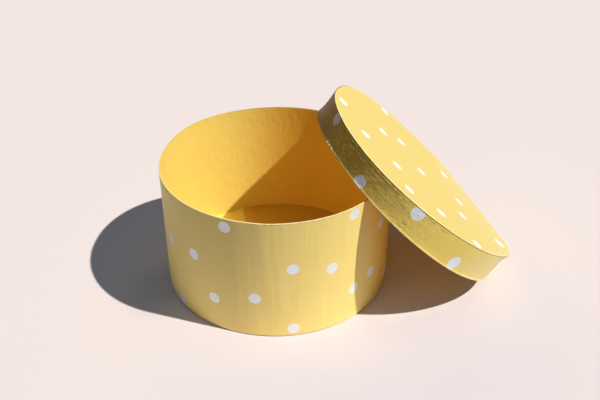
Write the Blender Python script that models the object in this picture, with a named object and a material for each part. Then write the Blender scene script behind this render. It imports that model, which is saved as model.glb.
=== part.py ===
"""Round keepsake box of wrapped paperboard, with its lid leaning on the rim.

The box stands with its axis on +Z and the centre of its base at the origin. The lid has its
foot on the same ground, on the +X side, and the inside of its top lies on the box's rim.
All lengths are in metres.
"""

import math

import bmesh
import bpy

# Sheets that the walls are layered from, and the glue between two of them
PAPER = 0.0002
GLUE_GAP = 0.0003
WALL_BOARD = 0.0010
BASE_BOARD = 0.0012
LID_RIM_BOARD = 0.0010
LID_TOP_BOARD = 0.0012

# Box
BOX_RADIUS = 0.0900
BOX_HEIGHT = 0.1022
RIM_TURN_IN = 0.0100
BASE_TURN_UNDER = 0.0120
COVER_INSET = 0.0040
LINING_DROP = 0.0015

# Lid, with the ease that lets it slip over the box
LID_HEIGHT = 0.0220
LID_EASE = 0.0023
LID_TURN_DOWN = 0.0050
LID_TURN_IN = 0.0080
LID_STRIP_DROP = 0.0004

# How the lid leans: the slope of its top, and its play on the rim and on the ground
LEAN_ANGLE = math.radians(42.3)
REST_GAP = 0.0003

# Butt seams of the two board strips, with a gummed tape along each
SEAM_OPENING = 0.0003
TAPE_WIDTH = 0.0220
TAPE_MARGIN = 0.0015
BOX_SEAM_TURN = math.radians(120)
LID_SEAM_TURN = math.radians(60)

# Facets round a turned piece and across a tape
ROUND_STEPS = 96
TAPE_STEPS = 6
SMOOTH_ANGLE = math.radians(30)
MERGE_DISTANCE = 0.00001

# Colours, as linear red, green, blue and alpha
DOTTED_YELLOW = (0.84, 0.62, 0.19, 1)
GOLDEN_YELLOW = (0.82, 0.52, 0.09, 1)
BOARD_GREY = (0.33, 0.29, 0.24, 1)
TAPE_BROWN = (0.45, 0.28, 0.13, 1)

# Box radii, from the outside in
LAYER = PAPER + GLUE_GAP
WALL_BOARD_OUTER = BOX_RADIUS - LAYER
WALL_BOARD_INNER = WALL_BOARD_OUTER - WALL_BOARD
WALL_TURNED_OUTER = WALL_BOARD_INNER - GLUE_GAP
WALL_TURNED_INNER = WALL_TURNED_OUTER - PAPER
WALL_LINING_OUTER = WALL_TURNED_INNER - GLUE_GAP
WALL_LINING_INNER = WALL_LINING_OUTER - PAPER

# Box heights, from the ground up: cover paper, turned-under paper, boards, lining
TURNED_UNDER_FOOT = LAYER
BOARD_FOOT = TURNED_UNDER_FOOT + LAYER
FLOOR_LINING_FOOT = BOARD_FOOT + BASE_BOARD + GLUE_GAP

# Lid radii, from the inside out
LID_LINING_INNER = BOX_RADIUS + LID_EASE
LID_LINING_OUTER = LID_LINING_INNER + PAPER
LID_TURNED_INNER = LID_LINING_OUTER + GLUE_GAP
LID_TURNED_OUTER = LID_TURNED_INNER + PAPER
LID_BOARD_INNER = LID_TURNED_OUTER + GLUE_GAP
LID_BOARD_OUTER = LID_BOARD_INNER + LID_RIM_BOARD
LID_FOLD_INNER = LID_BOARD_OUTER + GLUE_GAP
LID_FOLD_OUTER = LID_FOLD_INNER + PAPER
LID_STRIP_INNER = LID_FOLD_OUTER + GLUE_GAP
LID_RADIUS = LID_STRIP_INNER + PAPER

# Lid heights above the lower edge of its rim, from the top down
LID_FOLD_FOOT = LID_HEIGHT - LID_TURN_DOWN
LID_TOP_BOARD_FOOT = LID_HEIGHT - LAYER - LID_TOP_BOARD
LID_TOP_LINING_FOOT = LID_TOP_BOARD_FOOT - LAYER


def clear_scene():
    """Remove every object that the new file starts with."""
    for item in list(bpy.data.objects):
        bpy.data.objects.remove(item, do_unlink=True)


def make_material(name, colour, roughness):
    """Return a matt paper or board surface."""
    material = bpy.data.materials.new(name)
    material.use_nodes = True
    surface = material.node_tree.nodes["Principled BSDF"]
    surface.inputs["Base Color"].default_value = colour
    surface.inputs["Roughness"].default_value = roughness
    surface.inputs["Metallic"].default_value = 0
    return material


def add_seat(name, location, lean):
    """Add the empty that carries the pieces of the box or of the lid."""
    seat = bpy.data.objects.new(name, None)
    bpy.context.collection.objects.link(seat)
    seat.location = location
    seat.rotation_euler = (0, lean, 0)
    return seat


def add_piece(name, shape, material, foot, seat):
    """Make one closed piece of a shape, standing at the height `foot` above its seat."""
    bmesh.ops.recalc_face_normals(shape, faces=shape.faces)
    mesh = bpy.data.meshes.new(name)
    shape.to_mesh(mesh)
    shape.free()
    mesh.shade_smooth()
    mesh.set_sharp_from_angle(angle=SMOOTH_ANGLE)
    mesh.materials.append(material)
    piece = bpy.data.objects.new(name, mesh)
    bpy.context.collection.objects.link(piece)
    piece.parent = seat
    piece.location = (0, 0, foot)
    return piece


def draw_outline(shape, outline, closed=True):
    """Draw (radius, height) points and the edges that join them in turn."""
    points = [shape.verts.new((radius, 0, height)) for radius, height in outline]
    edges = [shape.edges.new(pair) for pair in zip(points, points[1:])]
    if closed:
        edges.append(shape.edges.new((points[-1], points[0])))
    return points, edges


def add_disc(name, radius, thickness, material, foot, seat):
    """Make a flat round sheet."""
    shape = bmesh.new()
    bmesh.ops.create_cone(
        shape,
        cap_ends=True,
        segments=ROUND_STEPS,
        radius1=radius,
        radius2=radius,
        depth=thickness,
    )
    bmesh.ops.translate(shape, verts=shape.verts, vec=(0, 0, thickness / 2))
    return add_piece(name, shape, material, foot, seat)


def add_turned(name, outline, material, foot, seat, closed=True):
    """Turn an outline all the way round the axis.

    An outline that isn't closed has its first and last points on the axis.
    """
    shape = bmesh.new()
    points, edges = draw_outline(shape, outline, closed)
    bmesh.ops.spin(
        shape,
        geom=points + edges,
        cent=(0, 0, 0),
        axis=(0, 0, 1),
        angle=math.tau,
        steps=ROUND_STEPS,
    )
    bmesh.ops.remove_doubles(shape, verts=shape.verts, dist=MERGE_DISTANCE)
    return add_piece(name, shape, material, foot, seat)


def sleeve_outline(outer, inner, height):
    """Return the outline of a plain sleeve."""
    return [(outer, 0), (outer, height), (inner, height), (inner, 0)]


def add_bent_strip(name, outer, thickness, height, sweep, steps, first_turn, material, foot, seat):
    """Bend a flat strip round the axis, from `first_turn` on, with its two ends left open."""
    shape = bmesh.new()
    first_points, edges = draw_outline(shape, sleeve_outline(outer, outer - thickness, height))
    strip = bmesh.ops.spin(
        shape,
        geom=first_points + edges,
        cent=(0, 0, 0),
        axis=(0, 0, 1),
        angle=sweep,
        steps=steps,
    )
    last_points = [item for item in strip["geom_last"] if isinstance(item, bmesh.types.BMVert)]
    bmesh.ops.contextual_create(shape, geom=first_points)
    bmesh.ops.contextual_create(shape, geom=last_points)
    piece = add_piece(name, shape, material, foot, seat)
    piece.rotation_euler = (0, 0, first_turn)
    return piece


def add_hoop(name, outer, thickness, height, seam_turn, material, foot, seat):
    """Bend a board strip to a hoop whose two ends meet in a butt seam."""
    opening = SEAM_OPENING / outer
    sweep = math.tau - opening
    first_turn = seam_turn + opening / 2
    return add_bent_strip(
        name, outer, thickness, height, sweep, ROUND_STEPS, first_turn, material, foot, seat
    )


def add_tape(name, outer, height, seam_turn, material, foot, seat):
    """Lay a strip of gummed tape along a butt seam."""
    sweep = TAPE_WIDTH / outer
    first_turn = seam_turn - sweep / 2
    return add_bent_strip(
        name, outer, PAPER, height, sweep, TAPE_STEPS, first_turn, material, foot, seat
    )


def add_box_boards(board, tape, seat):
    """Add the wall strip with its taped seam, and the round board inside its foot."""
    add_disc(
        "base_board", WALL_BOARD_INNER - GLUE_GAP, BASE_BOARD, board, BOARD_FOOT, seat
    )
    wall_top = BOX_HEIGHT - LAYER
    add_hoop(
        "wall_board",
        WALL_BOARD_OUTER,
        WALL_BOARD,
        wall_top - BOARD_FOOT,
        BOX_SEAM_TURN,
        board,
        BOARD_FOOT,
        seat,
    )
    tape_foot = FLOOR_LINING_FOOT + TAPE_MARGIN
    tape_top = BOX_HEIGHT - RIM_TURN_IN - TAPE_MARGIN
    add_tape(
        "wall_joint_tape",
        WALL_TURNED_OUTER,
        tape_top - tape_foot,
        BOX_SEAM_TURN,
        tape,
        tape_foot,
        seat,
    )


def add_box_papers(dotted, golden, seat):
    """Add the dotted wrap, the linings and the paper that the box stands on."""
    wrap_height = BOX_HEIGHT - TURNED_UNDER_FOOT
    turned_end = wrap_height - RIM_TURN_IN
    under_end = BOX_RADIUS - BASE_TURN_UNDER
    wrap_outline = [
        (under_end, 0),
        (BOX_RADIUS, 0),
        (BOX_RADIUS, wrap_height),
        (WALL_TURNED_INNER, wrap_height),
        (WALL_TURNED_INNER, turned_end),
        (WALL_TURNED_OUTER, turned_end),
        (WALL_TURNED_OUTER, wrap_height - PAPER),
        (BOX_RADIUS - PAPER, wrap_height - PAPER),
        (BOX_RADIUS - PAPER, PAPER),
        (under_end, PAPER),
    ]
    add_turned("wall_wrap_paper", wrap_outline, dotted, TURNED_UNDER_FOOT, seat)

    lining_height = BOX_HEIGHT - LINING_DROP - FLOOR_LINING_FOOT
    lining_outline = sleeve_outline(WALL_LINING_OUTER, WALL_LINING_INNER, lining_height)
    add_turned("wall_lining_paper", lining_outline, golden, FLOOR_LINING_FOOT, seat)
    add_disc(
        "base_lining_paper", WALL_LINING_INNER - GLUE_GAP, PAPER, golden, FLOOR_LINING_FOOT, seat
    )
    add_disc("base_cover_paper", BOX_RADIUS - COVER_INSET, PAPER, golden, 0, seat)


def add_lid_boards(board, tape, seat):
    """Add the lid's round top board, and its rim strip with the taped seam."""
    add_disc(
        "lid_top_board", LID_BOARD_OUTER, LID_TOP_BOARD, board, LID_TOP_BOARD_FOOT, seat
    )
    rim_top = LID_TOP_BOARD_FOOT - GLUE_GAP
    add_hoop(
        "lid_rim_board",
        LID_BOARD_OUTER,
        LID_RIM_BOARD,
        rim_top - LAYER,
        LID_SEAM_TURN,
        board,
        LAYER,
        seat,
    )
    tape_foot = LAYER + TAPE_MARGIN
    tape_top = LID_FOLD_FOOT - TAPE_MARGIN
    add_tape(
        "lid_joint_tape",
        LID_FOLD_OUTER,
        tape_top - tape_foot,
        LID_SEAM_TURN,
        tape,
        tape_foot,
        seat,
    )


def add_lid_papers(dotted, golden, seat):
    """Add the lid's top paper, the strip round its rim and its two linings."""
    top_outline = [
        (0, LID_TURN_DOWN - PAPER),
        (LID_FOLD_INNER, LID_TURN_DOWN - PAPER),
        (LID_FOLD_INNER, 0),
        (LID_FOLD_OUTER, 0),
        (LID_FOLD_OUTER, LID_TURN_DOWN),
        (0, LID_TURN_DOWN),
    ]
    add_turned("lid_top_paper", top_outline, dotted, LID_FOLD_FOOT, seat, closed=False)

    strip_top = LID_HEIGHT - LID_STRIP_DROP
    strip_outline = [
        (LID_TURNED_INNER, 0),
        (LID_RADIUS, 0),
        (LID_RADIUS, strip_top),
        (LID_STRIP_INNER, strip_top),
        (LID_STRIP_INNER, PAPER),
        (LID_TURNED_OUTER, PAPER),
        (LID_TURNED_OUTER, LID_TURN_IN),
        (LID_TURNED_INNER, LID_TURN_IN),
    ]
    add_turned("lid_rim_wrap_paper", strip_outline, dotted, 0, seat)

    add_disc(
        "lid_top_lining", LID_BOARD_INNER - GLUE_GAP, PAPER, golden, LID_TOP_LINING_FOOT, seat
    )
    lining_top = LID_TOP_LINING_FOOT - GLUE_GAP
    lining_outline = sleeve_outline(LID_LINING_OUTER, LID_LINING_INNER, lining_top - LAYER)
    add_turned("lid_rim_lining", lining_outline, golden, LAYER, seat)


def lid_place():
    """Work out where the centre of the lid's lower edge lies.

    The foot of the rim stands on the ground, and the inside of the top lies on the box's rim.
    """
    height = LID_RADIUS * math.sin(LEAN_ANGLE) + REST_GAP
    above_rim_share = math.cos(LEAN_ANGLE) / math.sin(LEAN_ANGLE)
    depth = (LID_TOP_LINING_FOOT - REST_GAP) / math.sin(LEAN_ANGLE)
    reach = BOX_RADIUS + above_rim_share * (BOX_HEIGHT - height) - depth
    return reach, 0, height


def main():
    """Build the box and its lid."""
    clear_scene()
    dotted = make_material("dotted_paper", DOTTED_YELLOW, roughness=0.5)
    golden = make_material("lining_paper", GOLDEN_YELLOW, roughness=0.6)
    board = make_material("greyboard", BOARD_GREY, roughness=0.9)
    tape = make_material("gummed_tape", TAPE_BROWN, roughness=0.7)

    box_seat = add_seat("box_seat", (0, 0, 0), lean=0)
    add_box_boards(board, tape, box_seat)
    add_box_papers(dotted, golden, box_seat)

    lid_seat = add_seat("lid_lift", lid_place(), lean=LEAN_ANGLE)
    add_lid_boards(board, tape, lid_seat)
    add_lid_papers(dotted, golden, lid_seat)


main()
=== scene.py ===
"""Looks of a round keepsake box: dotted wrap, golden lining and the lid leaning on its rim.

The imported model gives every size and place. Each sheet of paper, card or tape is modelled anew as
a thin turned sheet, with rounded folds and slight swells. Only the base board and the paper under
it keep their solids. All lengths are in metres.
"""

import logging
import math
from dataclasses import dataclass, field
from enum import Enum
from functools import reduce
from typing import Any, Callable, Iterable, Sequence

import bpy
from mathutils import Euler, Matrix, Quaternion, Vector


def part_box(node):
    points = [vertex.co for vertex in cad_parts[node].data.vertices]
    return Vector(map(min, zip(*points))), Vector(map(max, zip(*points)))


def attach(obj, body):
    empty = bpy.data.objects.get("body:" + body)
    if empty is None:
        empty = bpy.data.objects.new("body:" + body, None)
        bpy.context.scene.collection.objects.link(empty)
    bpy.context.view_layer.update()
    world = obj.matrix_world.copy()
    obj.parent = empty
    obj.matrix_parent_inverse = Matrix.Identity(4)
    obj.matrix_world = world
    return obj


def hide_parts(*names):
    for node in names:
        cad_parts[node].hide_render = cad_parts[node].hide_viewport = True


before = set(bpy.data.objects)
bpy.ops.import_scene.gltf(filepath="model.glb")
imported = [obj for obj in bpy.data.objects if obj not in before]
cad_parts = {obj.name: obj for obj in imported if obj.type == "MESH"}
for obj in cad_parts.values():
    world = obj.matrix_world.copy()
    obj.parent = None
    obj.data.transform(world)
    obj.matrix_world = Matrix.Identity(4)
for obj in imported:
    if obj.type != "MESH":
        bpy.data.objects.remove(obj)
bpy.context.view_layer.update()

log = logging.getLogger("round_box")

Colour = tuple[float, float, float]
Outline = list[tuple[float, float]]

MM = 0.001

# Sheets and the glue between two of them
PAPER = 0.2 * MM
GLUE_GAP = 0.3 * MM

# Facets round a sheet, the length of one on a straight run, and across a fold
TURN_FACETS = 384
RUN_FACET = 2.0 * MM
FOLD_FACETS = 5
SMOOTH_ANGLE = math.radians(40)

# The attribute that keeps where each point of a bent sheet was before it bent
UNBENT = "unbent_place"

# The least push for which a bend is worked out
LEAST_PUSH = 0.001 * MM

# The middle of a cloud, and what its swing is multiplied by to bring a share to full strength
CLOUD_MIDDLE = 0.5
CLOUD_REACH = 4

# The size of a paper's fibres and of its mottle, and how far each sways its roughness
FIBRE_GRAIN = 0.9 * MM
MOTTLE_GRAIN = 16 * MM
FIBRE_SWAY = 0.10
MOTTLE_SWAY = 0.16

# How papers bend light, how dark the painted shade in dents and creases and under an
# overlapping edge is, and how matt linings and tape are
PAPER_IOR = 1.46
DENT_AND_CREASE_SHADE = 0.35
LAP_SHADOW_SHADE = 0.22
LINING_ROUGHNESS = 0.55
TAPE_ROUGHNESS = 0.7

# How a crease wanders up and down, and where along it the fold isn't broken
CREASE_WANDER = (13 * MM, 13 * MM, 30 * MM)
CREASE_GAP = 4 * MM
CREASE_WHOLE = (0.36, 0.46)

# The share of a width or a radius up to which a mark is full, and where a painted shadow line fades
CREASE_CORE_SHARE = 0.2
RUB_AND_HIGHLIGHT_CORE_SHARE = 0.4
SCUFF_CORE_SHARE = 0.5
LAP_SHADOW_FADE_SHARES = (0.5, 1.2)

# Where the dents of a crushed stretch gather, and where painted shade and painted highlights lie
PATCH_GRAIN = 12 * MM
PATCHES = (0.38, 0.62, 0.25, 1.0)
DARK_DENTS = (0.33, 0.42)
PALE_DENTS = (0.56, 0.66)

# How thinly the dots are printed, and how the print breaks up between the fibres and along cracks
THIN_INK_FROM = 0.35
THIN_INK_GAIN = 1.4
THIN_INK_SHADE = 0.93
PRINT_GAPS = (0.06, 0.14)
PRINT_ROUGHNESS = 0.10
CRACK_GRAIN = 1.2 * MM
CRACK_WIDTH = 0.04
CRACK_SHARE = 0.75
CRACK_SHADE = 0.22

# How the rubbing and the painted highlight along a fold break up, and the grain of a scuff's edge
RUB_AND_HIGHLIGHT_GRAIN = (5 * MM, 5 * MM, 1.2 * MM)
RUB_AND_HIGHLIGHT_BREAKS = (0.34, 0.62, 0.35, 1.0)
SCUFF_GRAIN = 1.3 * MM
SCUFF_REACH = 4.5

# How board and tape vary from fibre to fibre, and how much they mirror
BOARD_DARK = 0.7
BOARD_PALE = 1.35
BOARD_FIBRES = (0.3, 0.7)
BOARD_FLECKS = 0.5
BOARD_SWAY = 0.2
BOARD_SHEEN = 0.3

# The floor's edge, its tooth and how matt it is
FLOOR_FACETS = 96
TOOTH_GRAIN = 1.5 * MM
TOOTH_SHADE = 0.992
FLOOR_ROUGHNESS = 0.9

# Light Path's outputs for a camera, a glossy and a transmission ray
SEEN_RAYS = (0, 3, 6)

# What a paper's deeper and paler fibres make of the red, green and blue of its dye
DEEPER_SHARES = (0.88, 0.84, 0.70)
PALER_SHARES = (1.05, 1.08, 1.28)

# Finishes, as linear red, green and blue
DOTTED_DYE = (0.98, 0.75, 0.225)
# Painted shade: the wall's dye deepened on the side that lies in the lid's shadow
DOTTED_PAINTED_SHADE_DYE = (0.80, 0.50, 0.06)
# Painted shade: the top's paper, here and in the next colour, is dyed darker than the same paper on
# the wall, to offset the strong light on the top
TOP_PAINTED_SHADE_DYE = (0.735, 0.565, 0.148)
TOP_PALE_DYE = (0.75, 0.59, 0.215)
# Painted shade: the rim strip's colour where it faces away from the light, towards -X
RIM_PAINTED_SHADE_DYE = (0.50, 0.30, 0.045)
# Painted shade: deeper still at the rim strip's -X end, towards +Y
RIM_PAINTED_DEEP_SHADE_DYE = (0.34, 0.20, 0.035)
RIM_DYE = (0.96, 0.705, 0.165)
# Painted light: the rim strip's paler colour on its lit side, towards +X
RIM_PAINTED_LIGHT_DYE = (1.00, 0.83, 0.36)
LINING_DYE = (0.99, 0.75, 0.165)
# Painted shade: the lining's deeper dye towards +X, where the inside lies in shade
LINING_PAINTED_SHADE_DYE = (0.93, 0.53, 0.065)
LID_LINING_DYE = (0.95, 0.62, 0.10)
FLOOR_LINING_DYE = (0.92, 0.60, 0.09)
# Painted shade: the floor lining's deeper dye towards +X, where it lies in shade
FLOOR_LINING_PAINTED_SHADE_DYE = (0.70, 0.39, 0.04)
# Painted light: a small lit patch on the floor lining, at the back towards -X
FLOOR_LINING_PAINTED_LIGHT_DYE = (1.0, 0.745, 0.15)
DOT_WHITE = (0.91, 0.97, 0.99)
# The grey of cracks in the print, and of painted shade on the dots
DOT_SHADE_AND_CRACK_GREY = (0.50, 0.50, 0.52)
# Pale where the dye comes off along folds and at scuffs; along the folds it is partly painted
# highlight
RUBBED_AND_LIT_DYE = (1.00, 0.84, 0.46)
BOARD_GREY = (0.33, 0.29, 0.24)
TAPE_BROWN = (0.45, 0.28, 0.13)
FLOOR_BLUSH = (0.80, 0.69, 0.65)
# Painted shade that offsets the light the box's lit side throws on the floor
FLOOR_BLUSH_LIT = (0.715, 0.645, 0.655)
# Painted shade beside the foot of the box's dark side
FLOOR_GLOOM = (0.60, 0.56, 0.58)
# Painted light in the lid's shadow on the floor
FLOOR_SHADE = (0.79, 0.725, 0.685)
FLOOR_NEAR = (0.95, 0.81, 0.71)
FLOOR_FAR = (0.22, 0.18, 0.15)
BACKDROP = (0.905, 0.799, 0.761)


class Facing(Enum):
    """The side of a turned sheet that shows."""

    OUTWARD = "outward"
    INWARD = "inward"
    UP = "up"
    DOWN = "down"


class Push(Enum):
    """The way in which a swell moves the paper."""

    NORMAL = "NORMAL"
    HEIGHT = "Z"


class Wire:
    """An output of a node, on which Python's operators add Math nodes."""

    def __init__(self, nodes: "Nodes", socket: bpy.types.NodeSocket) -> None:
        """Wrap a socket of the tree that `nodes` fills."""
        self.nodes = nodes
        self.socket = socket

    def __add__(self, other: "Wire | float") -> "Wire":
        """Add a value."""
        return self.nodes.maths("ADD", self, other)

    def __radd__(self, other: float) -> "Wire":
        """Add to a number."""
        return self.nodes.maths("ADD", other, self)

    def __sub__(self, other: "Wire | float") -> "Wire":
        """Take a value away."""
        return self.nodes.maths("SUBTRACT", self, other)

    def __rsub__(self, other: float) -> "Wire":
        """Take this away from a number."""
        return self.nodes.maths("SUBTRACT", other, self)

    def __mul__(self, other: "Wire | float") -> "Wire":
        """Multiply by a value."""
        return self.nodes.maths("MULTIPLY", self, other)

    def __rmul__(self, other: float) -> "Wire":
        """Multiply a number."""
        return self.nodes.maths("MULTIPLY", other, self)

    def __pow__(self, power: float) -> "Wire":
        """Raise to a power."""
        return self.nodes.maths("POWER", self, power)

    def __abs__(self) -> "Wire":
        """Drop the sign."""
        return self.nodes.maths("ABSOLUTE", self)

    def least(self, other: "Wire | float") -> "Wire":
        """Return the lesser of two values."""
        return self.nodes.maths("MINIMUM", self, other)

    def most(self, other: "Wire | float") -> "Wire":
        """Return the greater of two values."""
        return self.nodes.maths("MAXIMUM", self, other)

    def ramp(self, low: float, high: float, start: float = 0.0, end: float = 1.0) -> "Wire":
        """Pass smoothly from one value to another.

        Args:
            low: Where the passage begins.
            high: Where it is complete.
            start: The value up to `low`.
            end: The value from `high` on.

        Returns:
            The smoothed value.
        """
        return self.nodes.node(
            "ShaderNodeMapRange",
            {"interpolation_type": "SMOOTHSTEP"},
            {0: self, 1: low, 2: high, 3: start, 4: end},
        )

    def fall(self, low: float, high: float) -> "Wire":
        """Pass smoothly from 1, up to `low`, to 0, from `high` on."""
        return self.ramp(low, high, 1.0, 0.0)


class Nodes:
    """Fills the node tree of one finish."""

    def __init__(self, holder: bpy.types.Material | bpy.types.World) -> None:
        """Empty a tree, and get ready to fill it.

        Args:
            holder: The material or the world whose tree it is.
        """
        holder.use_nodes = True
        self.tree = holder.node_tree
        self.tree.nodes.clear()

    def node(
        self,
        kind: str,
        settings: dict[str, Any] | None = None,
        sockets: dict[int | str, Any] | None = None,
        output: int = 0,
    ) -> Wire:
        """Add a node of any type.

        Args:
            kind: The node's type.
            settings: Its own settings, which are made first.
            sockets: A value or a wire for each input, by index or name.
            output: The output to return.

        Returns:
            The chosen output.
        """
        made = self.tree.nodes.new(kind)
        for name, setting in (settings or {}).items():
            setattr(made, name, setting)
        for key, value in (sockets or {}).items():
            if isinstance(value, Wire):
                self.tree.links.new(value.socket, made.inputs[key])
            elif made.inputs[key].type == "RGBA":
                made.inputs[key].default_value = (*value, 1.0)
            else:
                made.inputs[key].default_value = value
        return Wire(self, made.outputs[output] if len(made.outputs) else None)

    def maths(self, operation: str, *operands: Wire | float) -> Wire:
        """Add a Math node for an operation on one to three values."""
        return self.node("ShaderNodeMath", {"operation": operation}, dict(enumerate(operands)))

    def vector(self, operation: str, *operands: Any, output: int = 0) -> Wire:
        """Add a Vector Math node for an operation on one or two places."""
        sockets = dict(enumerate(operands))
        return self.node("ShaderNodeVectorMath", {"operation": operation}, sockets, output)

    def blend(self, share: Wire | float, first: Wire | Colour, second: Wire | Colour) -> Wire:
        """Mix two colours.

        Args:
            share: How much of the second shows.
            first: The first colour.
            second: The second.

        Returns:
            The mixed colour.
        """
        return self.node(
            "ShaderNodeMix", {"data_type": "RGBA"}, {0: share, 6: first, 7: second}, output=2
        )

    def position(self) -> Wire:
        """Return the place on a piece, in its own coordinates."""
        return self.node("ShaderNodeTexCoord", output=3)

    def place(self, seat: "Seat", unbent: bool) -> Wire:
        """Return the place on a piece, measured from the seat that its pattern is turned about.

        Args:
            seat: The seat.
            unbent: Whether to return the place that the point had before its sheet bent.

        Returns:
            The place, as a vector.
        """
        if unbent:
            return self.node("ShaderNodeAttribute", {"attribute_name": UNBENT}, output=1)
        return self.node(
            "ShaderNodeMapping",
            {"vector_type": "TEXTURE"},
            {0: self.position(), 1: seat.centre, 2: Euler((0, seat.lean, 0))},
        )

    def cloud(
        self, at: Wire, grain: float | Sequence[float], detail: float = 2.0, rough: float = 0.5
    ) -> Wire:
        """Add a soft random pattern.

        Args:
            at: The place on the piece.
            grain: The size of the pattern, or its size along each axis.
            detail: How many finer layers it has.
            rough: How strong these are.

        Returns:
            A value between 0 and 1, mostly near a half.
        """
        sizes = Vector((grain,) * 3 if isinstance(grain, float) else grain)
        return self.node(
            "ShaderNodeTexNoise",
            None,
            {
                "Vector": self.vector("DIVIDE", at, sizes),
                "Scale": 1.0,
                "Detail": detail,
                "Roughness": rough,
            },
        )

    def waver(
        self, at: Wire, grain: float | Sequence[float], detail: float = 2.0, rough: float = 0.5
    ) -> Wire:
        """Return the swing of a cloud to either side of its middle."""
        return self.cloud(at, grain, detail, rough) - CLOUD_MIDDLE

    def axis(self, at: Wire, index: int) -> Wire:
        """Return one coordinate of a place: 0 for X, 1 for Y, 2 for Z."""
        return self.node("ShaderNodeSeparateXYZ", None, {0: at}, output=index)

    def radius(self, at: Wire) -> Wire:
        """Return the distance of a place from the Z axis."""
        return self.vector("LENGTH", self.vector("MULTIPLY", at, (1, 1, 0)), output=1)

    def nearest(self, at: Wire, places: Iterable[Vector]) -> Wire:
        """Return the distance to the nearest of several places."""
        distances = [self.vector("DISTANCE", at, spot, output=1) for spot in places]
        return reduce(Wire.least, distances)

    def relief(self, height: Wire, depth: float, normal: Wire | None = None) -> Wire:
        """Raise the surface.

        Args:
            height: The height, from 0 to 1.
            depth: How many metres a height of 1 is.
            normal: The normal of the relief under it, if there is one.

        Returns:
            The normal.
        """
        sockets = {"Strength": 1.0, "Distance": depth, "Height": height}
        if normal is not None:
            sockets["Normal"] = normal
        return self.node("ShaderNodeBump", None, sockets)

    def surface(self, sockets: dict[int | str, Any]) -> None:
        """Add the surface that shows, with a value or a wire for each socket."""
        shader = self.node("ShaderNodeBsdfPrincipled", None, sockets)
        self.node("ShaderNodeOutputMaterial", None, {"Surface": shader})


@dataclass(frozen=True)
class Seat:
    """Where a round sub-assembly stands.

    Attributes:
        body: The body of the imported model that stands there.
        centre: The centre of its lower edge.
        lean: How far its axis leans from +Z towards +X.
    """

    body: str
    centre: Vector
    lean: float

    @property
    def matrix(self) -> Matrix:
        """The place and the turn of the seat, as one matrix."""
        return Matrix.Translation(self.centre) @ Matrix.Rotation(self.lean, 4, "Y")

    @property
    def axis(self) -> Vector:
        """The direction of the seat's axis."""
        return self.matrix.to_3x3() @ Vector((0, 0, 1))

    def _points(self, node: str) -> list[Vector]:
        """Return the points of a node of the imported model, as seen from this seat."""
        inverse = self.matrix.inverted()
        return [inverse @ vertex.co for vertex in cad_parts[node].data.vertices]

    def measure(self, node: str) -> "Turned":
        """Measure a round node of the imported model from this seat.

        Args:
            node: The node.

        Returns:
            Its radius and heights.
        """
        points = self._points(node)
        return Turned(
            radius=max(math.hypot(point.x, point.y) for point in points),
            foot=min(point.z for point in points),
            top=max(point.z for point in points),
        )

    def arc(self, node: str) -> tuple[float, float]:
        """Measure a node that is part of a ring round this seat.

        Args:
            node: The node.

        Returns:
            The turns in degrees between which it lies.
        """
        points = self._points(node)
        middle = sum(points, Vector()) / len(points)
        turn = math.degrees(math.atan2(middle.y, middle.x))
        offs = [
            (math.degrees(math.atan2(point.y, point.x)) - turn + 180) % 360 - 180
            for point in points
        ]
        sweep = max(offs) - min(offs)
        return turn - sweep / 2, turn + sweep / 2

    @classmethod
    def under(cls, body: str, disc: str, sleeve: str, rim: str) -> "Seat":
        """Find the seat of a leaning lid.

        Args:
            body: The lid's body.
            disc: A node that is a disc across the lid.
            sleeve: A node that is a sleeve round the same axis.
            rim: The node that reaches to the lid's lower edge.

        Returns:
            The seat, with its centre at the middle of the lower edge.
        """
        middles = [sum(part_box(node), Vector()) / 2 for node in (disc, sleeve)]
        axis = (middles[0] - middles[1]).normalized()
        tilted = cls(body, middles[1], math.atan2(axis.x, axis.z))
        return cls(body, middles[1] + tilted.axis * tilted.measure(rim).foot, tilted.lean)


@dataclass(frozen=True)
class Turned:
    """The radius and the heights of a round node."""

    radius: float
    foot: float
    top: float

    @property
    def height(self) -> float:
        """From the foot to the top."""
        return self.top - self.foot


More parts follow.
